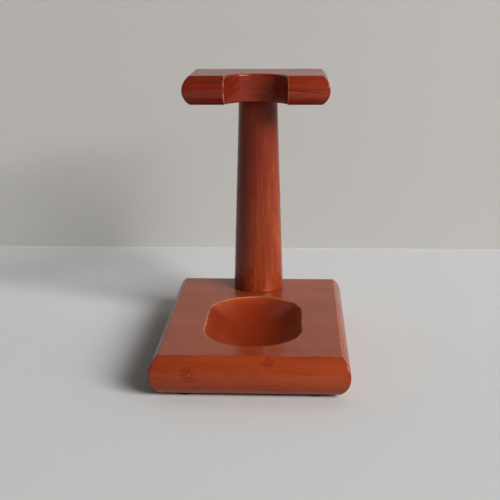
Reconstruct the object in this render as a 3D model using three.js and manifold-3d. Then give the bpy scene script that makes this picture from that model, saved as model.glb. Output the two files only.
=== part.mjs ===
// A small wooden stand: a thick base board with a dished recess, one tapered round post near its rear
// edge, and a notched T-shaped head plate across the top of the post. What hangs from the notch has the
// recess under it. Millimetres, +Z up, +X to the right, -Y towards the front. The origin is on the
// surface that the stand rests on, under the middle of the base board.

import * as THREE from "three";
import { mergeVertices } from "three/addons/utils/BufferGeometryUtils.js";
import Module from "manifold-3d";

const wasm = await Module();
wasm.setup();

// ---------------------------------------------------------------- driving dimensions

// Base board. Width and depth are taken at the middle of its bulging edges.
const BASE_WIDTH = 80;
const BASE_DEPTH = 115;
const BASE_THICKNESS = 16;
const BASE_BULGE = 3.7;

// Recess in the base: a slot with full round ends, dished across and at its ends. Its length is what
// is left between the post and the rim of flat wood in front. A higher fullness gives steeper walls.
const RECESS_WIDTH = 41.5;
const RECESS_DEPTH = 9;
const RECESS_FULLNESS = 2.3;
const RECESS_TO_POST = 6;
const RECESS_FRONT_RIM = 10.8;

// Post, a straight taper above a plain round spigot.
const POST_BOTTOM_RADIUS = 11.7;
const POST_TOP_RADIUS = 8.9;
const POST_LENGTH = 90;
const POST_TO_EDGE = 0.4;
const SPIGOT_RADIUS = 7;
const SPIGOT_LENGTH = 6;

// Head plate. Width and notch depth are taken at the middle of its bulging edges, and its rear edge is
// flush with the rear edge of the base.
const HEAD_WIDTH = 65;
const HEAD_THICKNESS = 12.7;
const HEAD_BULGE = 3.2;
const NOTCH_RADIUS = 14;
const NOTCH_DEPTH = 13.8;
const NOTCH_TO_POST = 4.4;

// Round-headed wood screw from below and its washer, both sunk in a counterbore. The screw's length
// is taken from under its head.
const SCREW_RADIUS = 2;
const SCREW_LENGTH = 30;
const SCREW_POINT = 4;
const SCREW_HEAD_RADIUS = 3.9;
const SCREW_HEAD_HEIGHT = 2.4;
const CROSS_LENGTH = 4;
const CROSS_WIDTH = 1;
const CROSS_DEPTH = 1.2;
const WASHER_RADIUS = 5;
const WASHER_THICKNESS = 1;
const COUNTERBORE_DEPTH = 5;

// Dowel between the post and the head.
const DOWEL_RADIUS = 4;
const DOWEL_LENGTH = 20;
const DOWEL_IN_HEAD = 8;
const DOWEL_CHAMFER = 0.8;

// Rubber pads under the corners. The insets run from the edges of the flat underside to the pads' middles.
const FOOT_RADIUS = 4.75;
const FOOT_THICKNESS = 1.5;
const FOOT_EASE = 0.4;
const FOOT_SIDE_INSET = 10;
const FOOT_END_INSET = 6.2;

// Clearances: between a piece and the hole it sits in, past the end of a blind hole, and round the washer.
const FIT_GAP = 0.3;
const END_GAP = 0.5;
const WASHER_GAP = 0.6;

// Fineness of round shapes.
const EDGE_STEPS = 14;
const DISH_STEPS = 12;
const DISH_SIDES = 56;
const POST_SIDES = 56;
const SMALL_SIDES = 32;
const SCREW_DOME_STEPS = 5;

// ---------------------------------------------------------------- heights and places that follow

// The flat top and underside of the base stop short of its widest outline by the bulge.
const FLAT_WIDTH = BASE_WIDTH - 2 * BASE_BULGE;
const FLAT_DEPTH = BASE_DEPTH - 2 * BASE_BULGE;
const POST_Y = FLAT_DEPTH / 2 - POST_TO_EDGE - POST_BOTTOM_RADIUS;
const RECESS_REAR_Y = POST_Y - POST_BOTTOM_RADIUS - RECESS_TO_POST;
const RECESS_FRONT_Y = RECESS_FRONT_RIM - FLAT_DEPTH / 2;
const NOTCH_BACK_Y = POST_Y - POST_TOP_RADIUS - NOTCH_TO_POST;
const HEAD_REAR_Y = BASE_DEPTH / 2;
const HEAD_FRONT_Y = NOTCH_BACK_Y - NOTCH_DEPTH;
const HEAD_DEPTH = HEAD_REAR_Y - HEAD_FRONT_Y;
const HEAD_Y = (HEAD_REAR_Y + HEAD_FRONT_Y) / 2;
const SOCKET_DEPTH = SPIGOT_LENGTH + END_GAP;
const SCREW_SEAT_Z = COUNTERBORE_DEPTH - WASHER_THICKNESS;
const SCREW_TIP_Z = SCREW_SEAT_Z + SCREW_LENGTH;
const DOWEL_IN_POST = DOWEL_LENGTH - DOWEL_IN_HEAD;

// Cutting tools run this far past the faces that they cut through.
const OVERRUN = 1;

// ---------------------------------------------------------------- solids and shapes

// A closed three.js geometry as a solid that can be cut and joined.
function solidOf(geometry) {
  const bare = geometry.clone();
  bare.deleteAttribute("normal");
  bare.deleteAttribute("uv");
  const merged = mergeVertices(bare);
  const index = merged.index.array;
  const corners = [];
  for (let i = 0; i < index.length; i += 3) {
    const [a, b, c] = index.slice(i, i + 3);
    if (a !== b && b !== c && c !== a) corners.push(a, b, c);
  }
  const mesh = new wasm.Mesh({
    numProp: 3,
    vertProperties: new Float32Array(merged.attributes.position.array),
    triVerts: new Uint32Array(corners),
  });
  return new wasm.Manifold(mesh);
}

// A solid back as a three.js geometry, with flat-shaded faces.
function geometryOf(solid) {
  const mesh = solid.getMesh();
  const geometry = new THREE.BufferGeometry();
  geometry.setAttribute("position", new THREE.BufferAttribute(new Float32Array(mesh.vertProperties), 3));
  geometry.setIndex(new THREE.BufferAttribute(new Uint32Array(mesh.triVerts), 1));
  const faceted = geometry.toNonIndexed();
  faceted.computeVertexNormals();
  return faceted;
}

// Points along an arc, both ends included.
function arc(centreX, centreY, radius, fromAngle, toAngle, steps) {
  const points = [];
  for (let i = 0; i <= steps; i += 1) {
    const angle = fromAngle + ((toAngle - fromAngle) * i) / steps;
    const x = centreX + radius * Math.cos(angle);
    const y = centreY + radius * Math.sin(angle);
    points.push(new THREE.Vector2(x, y));
  }
  return points;
}

// A closed outline pushed along Z.
function prism(points, length) {
  return new THREE.ExtrudeGeometry(new THREE.Shape(points), { depth: length, bevelEnabled: false });
}

// A profile of [radius, height] pairs turned about the Z axis. It starts and ends on the axis.
function turned(profile, sides) {
  const points = profile.map(([radius, height]) => new THREE.Vector2(radius, height));
  return new THREE.LatheGeometry(points, sides).rotateX(Math.PI / 2);
}

// A plain round bar from one height to another, used as a drill.
function roundBar(radius, fromZ, toZ, sides) {
  return turned([[0, fromZ], [radius, fromZ], [radius, toZ], [0, toZ]], sides);
}

// Section of a board: flat below and above, with each side bulging out to the full width in one arc.
function bulgedSection(width, thickness, bulge) {
  const middle = thickness / 2;
  const radius = (middle ** 2 + bulge ** 2) / (2 * bulge);
  const centre = width / 2 - radius;
  const angle = Math.asin(middle / radius);
  const right = arc(centre, middle, radius, -angle, angle, EDGE_STEPS);
  const left = arc(-centre, middle, radius, Math.PI - angle, Math.PI + angle, EDGE_STEPS);
  return [...right, ...left];
}

// A board whose four edges all have the bulged section, so they meet in mitred corners.
function bulgedBoard(width, depth, thickness, bulge) {
  const acrossLength = depth + 2 * OVERRUN;
  const across = prism(bulgedSection(width, thickness, bulge), acrossLength);
  across.rotateX(Math.PI / 2);
  across.translate(0, acrossLength / 2, 0);
  const alongLength = width + 2 * OVERRUN;
  const along = prism(bulgedSection(depth, thickness, bulge), alongLength);
  along.rotateX(Math.PI / 2);
  along.rotateZ(Math.PI / 2);
  along.translate(-alongLength / 2, 0, 0);
  return solidOf(across).intersect(solidOf(along));
}

// ---------------------------------------------------------------- base board

// Depth of the dish at a distance from its middle line, falling to nothing at the rim.
function dishDepth(distance) {
  const reach = distance / (RECESS_WIDTH / 2);
  return RECESS_DEPTH * (1 - reach ** RECESS_FULLNESS);
}

// The dish's profile from its middle line to its rim, as [distance, height] pairs. The steps get closer
// together towards the rim, where the dish is steepest.
function dishProfile() {
  const rim = RECESS_WIDTH / 2;
  const pairs = [];
  for (let i = 0; i <= DISH_STEPS; i += 1) {
    const distance = rim * Math.sin(((i / DISH_STEPS) * Math.PI) / 2);
    pairs.push([distance, -dishDepth(distance)]);
  }
  return pairs;
}

// The tool that hollows the recess: a turned bowl at each end and a trough between them.
function recessCutter() {
  const rim = RECESS_WIDTH / 2;
  const frontY = RECESS_FRONT_Y + rim;
  const rearY = RECESS_REAR_Y - rim;
  const pairs = dishProfile();
  const bowl = turned([...pairs, [rim, OVERRUN], [0, OVERRUN]], DISH_SIDES);
  const frontBowl = solidOf(bowl.clone().translate(0, frontY, 0));
  const rearBowl = solidOf(bowl.clone().translate(0, rearY, 0));
  const rightHalf = pairs.map(([distance, height]) => new THREE.Vector2(distance, height));
  const leftHalf = pairs.slice(1).map(([distance, height]) => new THREE.Vector2(-distance, height));
  const top = [new THREE.Vector2(rim, OVERRUN), new THREE.Vector2(-rim, OVERRUN)];
  const trough = prism([...rightHalf, ...top, ...leftHalf.reverse()], rearY - frontY);
  trough.rotateX(Math.PI / 2);
  trough.translate(0, rearY, BASE_THICKNESS);
  const bowls = frontBowl.add(rearBowl).translate([0, 0, BASE_THICKNESS]);
  return bowls.add(solidOf(trough));
}

function makeBaseBoard() {
  const board = bulgedBoard(BASE_WIDTH, BASE_DEPTH, BASE_THICKNESS, BASE_BULGE);
  const socketFloor = BASE_THICKNESS - SOCKET_DEPTH;
  const socket = roundBar(SPIGOT_RADIUS + FIT_GAP, socketFloor, BASE_THICKNESS + OVERRUN, SMALL_SIDES);
  const counterbore = roundBar(WASHER_RADIUS + WASHER_GAP, -OVERRUN, COUNTERBORE_DEPTH, SMALL_SIDES);
  const shankHole = roundBar(SCREW_RADIUS + FIT_GAP, 0, BASE_THICKNESS, SMALL_SIDES);
  const holes = [socket, counterbore, shankHole].map((hole) => solidOf(hole.translate(0, POST_Y, 0)));
  return geometryOf(holes.reduce((body, hole) => body.subtract(hole), board).subtract(recessCutter()));
}

// ---------------------------------------------------------------- post

// Turned in one piece: spigot, shoulder, taper, with a pilot hole below and a dowel hole on top.
function makePost() {
  const pilotRadius = SCREW_RADIUS + FIT_GAP;
  const pilotTop = SCREW_TIP_Z - BASE_THICKNESS + END_GAP;
  const dowelHoleRadius = DOWEL_RADIUS + FIT_GAP;
  const dowelHoleFloor = POST_LENGTH - DOWEL_IN_POST - END_GAP;
  const profile = [
    [0, pilotTop],
    [pilotRadius, pilotTop],
    [pilotRadius, -SPIGOT_LENGTH],
    [SPIGOT_RADIUS, -SPIGOT_LENGTH],
    [SPIGOT_RADIUS, 0],
    [POST_BOTTOM_RADIUS, 0],
    [POST_TOP_RADIUS, POST_LENGTH],
    [dowelHoleRadius, POST_LENGTH],
    [dowelHoleRadius, dowelHoleFloor],
    [0, dowelHoleFloor],
  ];
  return turned(profile, POST_SIDES);
}

// ---------------------------------------------------------------- head plate

function makeHeadPlate() {
  const plate = bulgedBoard(HEAD_WIDTH, HEAD_DEPTH, HEAD_THICKNESS, HEAD_BULGE);
  const notch = roundBar(NOTCH_RADIUS, -OVERRUN, HEAD_THICKNESS + OVERRUN, DISH_SIDES);
  notch.translate(0, NOTCH_BACK_Y - NOTCH_RADIUS - HEAD_Y, 0);
  const dowelHole = roundBar(DOWEL_RADIUS + FIT_GAP, -OVERRUN, DOWEL_IN_HEAD + END_GAP, SMALL_SIDES);
  dowelHole.translate(0, POST_Y - HEAD_Y, 0);
  return geometryOf(plate.subtract(solidOf(notch)).subtract(solidOf(dowelHole)));
}

// ---------------------------------------------------------------- fasteners and feet

// Wood screw with its head at the bottom: a dome with a cross recess, then the shank and its point.
function makeScrew() {
  const dome = [];
  for (let i = 0; i < SCREW_DOME_STEPS; i += 1) {
    const angle = ((i / SCREW_DOME_STEPS) * Math.PI) / 2;
    dome.push([SCREW_HEAD_RADIUS * Math.sin(angle), -SCREW_HEAD_HEIGHT * Math.cos(angle)]);
  }
  const profile = [
    ...dome,
    [SCREW_HEAD_RADIUS, 0],
    [SCREW_RADIUS, 0],
    [SCREW_RADIUS, SCREW_LENGTH - SCREW_POINT],
    [0, SCREW_LENGTH],
  ];
  const slot = new THREE.BoxGeometry(CROSS_LENGTH, CROSS_WIDTH, 2 * CROSS_DEPTH);
  slot.translate(0, 0, -SCREW_HEAD_HEIGHT);
  const crossSlot = slot.clone().rotateZ(Math.PI / 2);
  const body = solidOf(turned(profile, SMALL_SIDES));
  return geometryOf(body.subtract(solidOf(slot)).subtract(solidOf(crossSlot)));
}

function makeWasher() {
  const disc = solidOf(roundBar(WASHER_RADIUS, 0, WASHER_THICKNESS, SMALL_SIDES));
  const hole = solidOf(roundBar(SCREW_RADIUS + FIT_GAP, -OVERRUN, WASHER_THICKNESS + OVERRUN, SMALL_SIDES));
  return geometryOf(disc.subtract(hole));
}

// Dowel with its two ends chamfered.
function makeDowel() {
  const profile = [
    [0, 0],
    [DOWEL_RADIUS - DOWEL_CHAMFER, 0],
    [DOWEL_RADIUS, DOWEL_CHAMFER],
    [DOWEL_RADIUS, DOWEL_LENGTH - DOWEL_CHAMFER],
    [DOWEL_RADIUS - DOWEL_CHAMFER, DOWEL_LENGTH],
    [0, DOWEL_LENGTH],
  ];
  return turned(profile, SMALL_SIDES);
}

// Rubber pad, its lower edge a little eased.
function makeFoot() {
  const profile = [
    [0, 0],
    [FOOT_RADIUS - FOOT_EASE, 0],
    [FOOT_RADIUS, FOOT_EASE],
    [FOOT_RADIUS, FOOT_THICKNESS],
    [0, FOOT_THICKNESS],
  ];
  return turned(profile, SMALL_SIDES);
}

// ---------------------------------------------------------------- assembly

const BASE_STAIN = { color: 0x9a4526, roughness: 0.4, metalness: 0 };
const POST_STAIN = { color: 0x8c3a20, roughness: 0.4, metalness: 0 };
const HEAD_STAIN = { color: 0x93401f, roughness: 0.4, metalness: 0 };
const BARE_BEECH = { color: 0xd8b083, roughness: 0.7, metalness: 0 };
const ZINC_STEEL = { color: 0xb4b6b8, roughness: 0.35, metalness: 1 };
const BLACK_RUBBER = { color: 0x141414, roughness: 0.85, metalness: 0 };

// A named sub-part at its place.
function piece(name, geometry, look, x, y, z) {
  const mesh = new THREE.Mesh(geometry, new THREE.MeshStandardMaterial(look));
  mesh.name = name;
  mesh.position.set(x, y, z);
  return mesh;
}

// Everything wooden stands on the feet, so it shares one group raised by their thickness.
const woodwork = new THREE.Group();
woodwork.position.z = FOOT_THICKNESS;
woodwork.add(piece("base_board", makeBaseBoard(), BASE_STAIN, 0, 0, 0));
woodwork.add(piece("post", makePost(), POST_STAIN, 0, POST_Y, BASE_THICKNESS));
woodwork.add(piece("head_plate", makeHeadPlate(), HEAD_STAIN, 0, HEAD_Y, BASE_THICKNESS + POST_LENGTH));
woodwork.add(piece("base_screw", makeScrew(), ZINC_STEEL, 0, POST_Y, SCREW_SEAT_Z));
woodwork.add(piece("base_screw_washer", makeWasher(), ZINC_STEEL, 0, POST_Y, SCREW_SEAT_Z));
const dowelBottomZ = BASE_THICKNESS + POST_LENGTH - DOWEL_IN_POST;
woodwork.add(piece("head_dowel", makeDowel(), BARE_BEECH, 0, POST_Y, dowelBottomZ));

const stand = new THREE.Group();
stand.name = "notched_stand";
stand.add(woodwork);
for (const [sideName, side] of [["left", -1], ["right", 1]]) {
  for (const [endName, end] of [["front", -1], ["rear", 1]]) {
    const x = side * (FLAT_WIDTH / 2 - FOOT_SIDE_INSET);
    const y = end * (FLAT_DEPTH / 2 - FOOT_END_INSET);
    stand.add(piece(`foot_${endName}_${sideName}`, makeFoot(), BLACK_RUBBER, x, y, 0));
  }
}

export default stand;
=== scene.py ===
# %% [markdown]
# # A notched wooden stand
#
# A small piece of woodwork: a thick base board with a dished recess, one tapered post near the rear edge,
# and a T-shaped head plate with a round notch in its front edge. What hangs from the notch has the recess
# under it. Everything is red-brown stained wood under a satin varnish, on four thin rubber pads.
#
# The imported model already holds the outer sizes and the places. This script adds eased edges, wood with a
# grain that runs through the solid, a real screw thread, and light.

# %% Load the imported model
import math

import bmesh
import bpy
from mathutils import Matrix, Vector


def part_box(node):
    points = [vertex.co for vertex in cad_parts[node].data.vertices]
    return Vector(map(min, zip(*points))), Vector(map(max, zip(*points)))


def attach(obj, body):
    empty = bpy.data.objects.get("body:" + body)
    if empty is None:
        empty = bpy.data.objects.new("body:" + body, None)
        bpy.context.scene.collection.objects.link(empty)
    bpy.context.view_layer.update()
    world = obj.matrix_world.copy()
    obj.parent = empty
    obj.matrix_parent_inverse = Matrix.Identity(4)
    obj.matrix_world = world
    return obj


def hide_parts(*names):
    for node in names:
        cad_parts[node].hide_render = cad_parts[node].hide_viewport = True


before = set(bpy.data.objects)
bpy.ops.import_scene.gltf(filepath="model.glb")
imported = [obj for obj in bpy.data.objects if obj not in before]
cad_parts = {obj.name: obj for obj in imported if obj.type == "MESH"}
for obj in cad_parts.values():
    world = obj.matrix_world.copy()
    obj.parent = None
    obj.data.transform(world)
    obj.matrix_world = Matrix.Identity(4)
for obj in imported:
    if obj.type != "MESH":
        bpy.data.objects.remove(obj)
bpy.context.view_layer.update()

MM = 0.001
BODY = "root"

for node_name in sorted(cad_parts):
    low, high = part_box(node_name)
    size = (high - low) / MM
    print(f"{node_name:20s} {size.x:6.1f} x {size.y:6.1f} x {size.z:6.1f} mm")

# %% [markdown]
# ## Sizes
#
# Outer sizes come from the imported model, so the finished pieces always fit it. A box can't say how far an
# edge bulges or how deep a dish is, so those values are named here.

# %% Read the outer sizes and name the rest
base_low, base_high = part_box("base_board")
post_low, post_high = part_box("post")
head_low, head_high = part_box("head_plate")
screw_low, screw_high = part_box("base_screw")
washer_low, washer_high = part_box("base_screw_washer")
dowel_low, dowel_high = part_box("head_dowel")
pad_low, pad_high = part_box("foot_front_left")
far_pad_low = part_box("foot_rear_right")[0]

base_size = base_high - base_low
head_size = head_high - head_low
post_middle = (post_low + post_high) / 2

BASE_BULGE = 3.7 * MM
HEAD_BULGE = 3.2 * MM
RECESS_WIDTH = 41.5 * MM
RECESS_DEPTH = 9 * MM
RECESS_FULLNESS = 2.3
RECESS_TO_POST = 6 * MM
RECESS_FRONT_RIM = 10.8 * MM
POST_TOP_RADIUS = 8.9 * MM
SPIGOT_RADIUS = 7 * MM
NOTCH_RADIUS = 14 * MM
NOTCH_TO_POST = 4.4 * MM
COUNTERBORE_DEPTH = 5 * MM
SCREW_RADIUS = 2 * MM
FIT_GAP = 0.3 * MM
END_GAP = 0.5 * MM
WASHER_GAP = 0.6 * MM

post_bottom_radius = (post_high.x - post_low.x) / 2
screw_head_radius = (screw_high.x - screw_low.x) / 2
washer_radius = (washer_high.x - washer_low.x) / 2
dowel_radius = (dowel_high.x - dowel_low.x) / 2
pad_radius = (pad_high.x - pad_low.x) / 2

print(f"post: {2 * post_bottom_radius / MM:.1f} mm across at the foot")

# %% [markdown]
# ## Drawing with loops
#
# A board with eased edges could be a box with a Bevel modifier, and a dish could be cut with a Boolean.
# Both leave slivers where a curved rim meets a flat face. Here every surface is built from closed loops of
# points instead, one for each height, joined by rings of quads. The flat faces are filled last, between
# loops that already exist. The result is closed and clean, and each loop also carries a value that the
# finish reads later. Above 0 the stain is paler, in places at 1 and all along at 2: partly sanding has
# rubbed it thin, and partly it is a painted highlight where the varnish on an eased edge or the dish's rim
# catches the light. Below 0 it is darker and redder: a corner has soaked up more stain, the dish has soaked
# up more and also carries painted shade, and the notch carries painted shade.

# %% A shell made of loops
SAME_PLACE = 1e-7


def add_object(name, data):
    thing = bpy.data.objects.new(name, data)
    bpy.context.scene.collection.objects.link(thing)
    return thing


def hump(t):
    """0 at t = 0 and 1, and 1 half-way between them."""
    return math.sin(math.pi * t)


def write_mesh(bm, mesh, name):
    """Writes a surface into a mesh and says how many of its edges are open."""
    open_edges = sum(1 for edge in bm.edges if not edge.is_manifold)
    bm.to_mesh(mesh)
    bm.free()
    print(f"{name}: {len(mesh.polygons)} faces, {open_edges} open edges")


def new_piece(name, bm):
    mesh = bpy.data.meshes.new(name)
    write_mesh(bm, mesh, name)
    return add_object(name, mesh)


class Shell:
    """A closed surface, built loop by loop."""

    def __init__(self):
        self.bm = bmesh.new()
        self.wear_and_painted_light = self.bm.verts.layers.float.new("wear_and_painted_light")

    def loop(self, points, wear_and_painted_light=0.0):
        """Adds one loop. Its wear and painted light is one value for all its points, or a list with one for
        each.
        """
        verts = [self.bm.verts.new(point) for point in points]
        values = wear_and_painted_light if isinstance(wear_and_painted_light, list) else [wear_and_painted_light] * len(verts)
        for vert, value in zip(verts, values):
            vert[self.wear_and_painted_light] = value
        return verts

    def join(self, first, second):
        count = len(first)
        for i in range(count):
            after = (i + 1) % count
            face = self.bm.faces.new((first[i], first[after], second[after], second[i]))
            face.smooth = True

    def loft(self, loops):
        for first, second in zip(loops, loops[1:]):
            self.join(first, second)

    def fill(self, *loops):
        """A flat face inside the first loop, with the other loops as its holes."""
        edges = []
        for verts in loops:
            for i, vert in enumerate(verts):
                pair = (vert, verts[(i + 1) % len(verts)])
                edges.append(self.bm.edges.get(pair) or self.bm.edges.new(pair))
        bmesh.ops.triangle_fill(self.bm, edges=edges, use_beauty=True)

    def finish(self, name):
        bmesh.ops.remove_doubles(self.bm, verts=self.bm.verts, dist=SAME_PLACE)
        bmesh.ops.recalc_face_normals(self.bm, faces=self.bm.faces)
        return new_piece(name, self.bm)


def ring(centre, radius, z, sides=64):
    """A circle of points round a vertical axis."""
    turn = 2 * math.pi / sides
    return [
        (centre.x + radius * math.cos(i * turn), centre.y + radius * math.sin(i * turn), z)
        for i in range(sides)
    ]


def arc(centre, radius, start, end, steps):
    """Points (x, y) along an arc, both ends included. Angles are in radians."""
    angles = [start + (end - start) * i / steps for i in range(steps + 1)]
    return [(centre[0] + radius * math.cos(a), centre[1] + radius * math.sin(a)) for a in angles]

# %% [markdown]
# ## The boards' edges
#
# The edges of both boards are worked to one bulging arc, and the two crisp corners where the arc meets the
# flat faces are then eased with sandpaper. `BoardEdge` gives the inset of the edge from the board's widest
# outline at any height: first the big arc, then the small easing arc that touches both it and the flat.

# %% The profile of a worked edge
EDGE_EASE = 0.45 * MM
CORNER_EASE = 0.6 * MM
BULGE_STEPS = 14
EASE_STEPS = 6
SMALLEST_STEP = 0.02 * MM


class BoardEdge:
    """The section of a board's edge, measured inwards from its widest outline."""

    def __init__(self, thickness, bulge, ease):
        self.half = thickness / 2
        self.ease = ease
        self.radius = (self.half ** 2 + bulge ** 2) / (2 * bulge)
        self.ease_height = self.half - ease
        reach = math.sqrt((self.radius - ease) ** 2 - self.ease_height ** 2)
        self.ease_inset = self.radius - reach
        self.turn_angle = math.atan2(self.ease_height, reach)
        self.turn_height = self.radius * math.sin(self.turn_angle)

    def inset(self, z):
        height = min(abs(z - self.half), self.half)
        if height <= self.turn_height:
            return self.radius - math.sqrt(self.radius ** 2 - height ** 2)
        rise = height - self.ease_height
        return self.ease_inset - math.sqrt(max(self.ease ** 2 - rise ** 2, 0))

    def wear_and_painted_shading(self, z):
        """1 in the middle of the eased corner, 0 where it meets the arc and the flat. It pales the edge as
        wear and as a painted highlight.
        """
        height = abs(z - self.half)
        across = (height - self.turn_height) / (self.half - self.turn_height)
        return hump(min(max(across, 0), 1))

    def heights(self, ease):
        """Heights from the underside to the top, close together where the section turns fast."""
        upper = []
        for i in range(1, BULGE_STEPS + 1):
            upper.append(self.radius * math.sin(self.turn_angle * i / BULGE_STEPS))
        for i in range(EASE_STEPS + 1):
            upper.append(self.half - ease + ease * math.sin(math.pi / 2 * i / EASE_STEPS))
        kept = []
        for height in sorted(upper):
            if not kept or height - kept[-1] > SMALLEST_STEP:
                kept.append(height)
        kept[-1] = self.half
        below = [self.half - height for height in reversed(kept)]
        return below + [self.half] + [self.half + height for height in kept]


base_edge = BoardEdge(base_size.z, BASE_BULGE, EDGE_EASE)
print(f"base edge: arc of {base_edge.radius / MM:.1f} mm, flats start {base_edge.ease_inset / MM:.2f} mm in")

# %% [markdown]
# ## Base board
#
# The board's outline is a rectangle with mitred corners, only eased a little by sanding, so every loop
# round it is a rectangle with very small round corners. The recess is a slot with full round ends, dished
# like the inside of a spoon: the loops there are slots that shrink towards the middle line while they sink.
# A socket for the post, a clearance hole for the screw and the counterbore below it are plain circles.

# %% Outlines and the dish
CORNER_STEPS = 5
SLOT_STEPS = 40
DISH_STEPS = 26
RIM_EASE = 0.5 * MM
RIM_STEPS = 6
# The rim is made pale all round: partly stain rubbed thin, partly a painted highlight of the varnish.
RIM_WEAR_AND_HIGHLIGHT = 2
CORNER_SOAK = 1.5
# Over this many loops the dish grows darker and redder: partly soaked stain, partly painted shade.
DISH_SOAK_AND_SHADE_STEPS = 4


def blend(start, middle, end, t):
    """A place on the round curve from start to end that leans towards middle, for t from 0 to 1."""
    return (1 - t) ** 2 * start + 2 * t * (1 - t) * middle + t ** 2 * end


def rounded_rectangle(low_x, high_x, low_y, high_y, radius):
    """A rectangle with round corners as (x, y) points, anticlockwise from the right-hand front corner."""
    left, right = low_x + radius, high_x - radius
    front, rear = low_y + radius, high_y - radius
    points = []
    for i, place in enumerate([(right, front), (right, rear), (left, rear), (left, front)]):
        start = (i - 1) * math.pi / 2
        points += arc(place, radius, start, start + math.pi / 2, CORNER_STEPS)
    return points


def slot(half_width, front_y, rear_y):
    """A slot with full round ends, as (x, y) points. Its middle line runs from front_y to rear_y."""
    rear = arc((0, rear_y), half_width, 0, math.pi, SLOT_STEPS)
    front = arc((0, front_y), half_width, math.pi, 2 * math.pi, SLOT_STEPS)
    return rear + front


def dish_height(distance):
    """Height of the dish below the top face, at a distance from the recess's middle line."""
    reach = distance / (RECESS_WIDTH / 2)
    return -RECESS_DEPTH * (1 - reach ** RECESS_FULLNESS)


def dish_section():
    """(distance, height, wear and painted light) from the flat top over the eased rim down to the middle
    line.
    """
    rim = RECESS_WIDTH / 2
    inner = rim - RIM_EASE
    section = []
    for i in range(RIM_STEPS + 1):
        t = i / RIM_STEPS
        distance = blend(rim + RIM_EASE, rim, inner, t)
        height = t ** 2 * dish_height(inner)
        # Paler along the rim: rubbed stain and a painted highlight.
        section.append((distance, height, RIM_WEAR_AND_HIGHLIGHT * hump(t)))
    for i in range(1, DISH_STEPS + 1):
        distance = inner * (1 - i / DISH_STEPS)
        # Darker and redder inside the dish: soaked stain and painted shade.
        section.append((distance, dish_height(distance), -min(i / DISH_SOAK_AND_SHADE_STEPS, 1)))
    return section

# %% Build the base board
def lift(points, z):
    return [(x, y, z) for x, y in points]


def corner_wear_and_highlight(edge):
    """Wear and painted highlight over the points of one mitred corner, where stain has gathered in a dark
    line.
    """
    return [edge - CORNER_SOAK * hump(i / CORNER_STEPS) for i in range(CORNER_STEPS + 1)]


def make_base_board():
    shell = Shell()
    top = base_high.z
    edge_loops = []
    for height in base_edge.heights(EDGE_EASE):
        inset = base_edge.inset(height)
        outline = rounded_rectangle(
            base_low.x + inset, base_high.x - inset, base_low.y + inset, base_high.y - inset, CORNER_EASE
        )
        wear_and_painted_shading = corner_wear_and_highlight(base_edge.wear_and_painted_shading(height)) * 4
        edge_loops.append(shell.loop(lift(outline, base_low.z + height), wear_and_painted_shading))
    shell.loft(edge_loops)

    rim = RECESS_WIDTH / 2
    front_y = base_low.y + BASE_BULGE + RECESS_FRONT_RIM + rim
    rear_y = post_middle.y - post_bottom_radius - RECESS_TO_POST - rim
    dish_loops = []
    for distance, height, wear_and_painted_light in dish_section():
        dish_loops.append(shell.loop(lift(slot(distance, front_y, rear_y), top + height), wear_and_painted_light))
    shell.loft(dish_loops)

    socket_radius = SPIGOT_RADIUS + FIT_GAP
    shank_radius = SCREW_RADIUS + FIT_GAP
    counterbore_radius = washer_radius + WASHER_GAP
    floor = post_low.z - END_GAP
    seat = base_low.z + COUNTERBORE_DEPTH
    chamfer = EDGE_EASE / 2
    hole = [
        (socket_radius, top), (socket_radius, floor), (shank_radius, floor), (shank_radius, seat),
        (counterbore_radius, seat), (counterbore_radius, base_low.z + chamfer),
        (counterbore_radius + chamfer, base_low.z),
    ]
    hole_loops = [shell.loop(ring(post_middle, radius, z)) for radius, z in hole]
    shell.loft(hole_loops)

    shell.fill(edge_loops[-1], dish_loops[0], hole_loops[0])
    shell.fill(edge_loops[0], hole_loops[-1])
    return shell.finish("stained_base_board")


base_board = make_base_board()

# %% [markdown]
# ## Head plate
#
# The head is a smaller board of the same kind with a round notch bored through its front edge. At each
# height its outline is drawn for the right-hand half and mirrored: round the notch from its deepest point,
# over the eased arris where the notch breaks out, along the front, round the two corners and back to the
# middle of the rear edge. The notch's own top and bottom arrises are sanded rounder than the rest, because
# a handle rests there.

# %% Build the head plate
NOTCH_EASE = 0.9 * MM
ARRIS_EASE = 0.5 * MM
NOTCH_STEPS = 24
# How much darker and redder the notch's face is painted, as painted shade.
NOTCH_PAINTED_SHADE = 0.1
ARRIS_STEPS = 5
# The arrises where the notch breaks out are made pale: partly wear, partly a painted highlight.
ARRIS_WEAR_AND_HIGHLIGHT = 1.6

head_edge = BoardEdge(head_size.z, HEAD_BULGE, EDGE_EASE)
notch_back = post_middle.y - POST_TOP_RADIUS - NOTCH_TO_POST
notch_centre = notch_back - NOTCH_RADIUS


def notch_growth(height):
    """How much wider the notch is at a height, because its top and bottom arrises are rounded."""
    rise = abs(height - head_edge.half) - (head_edge.half - NOTCH_EASE)
    return NOTCH_EASE - math.sqrt(NOTCH_EASE ** 2 - rise ** 2) if rise > 0 else 0


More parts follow.
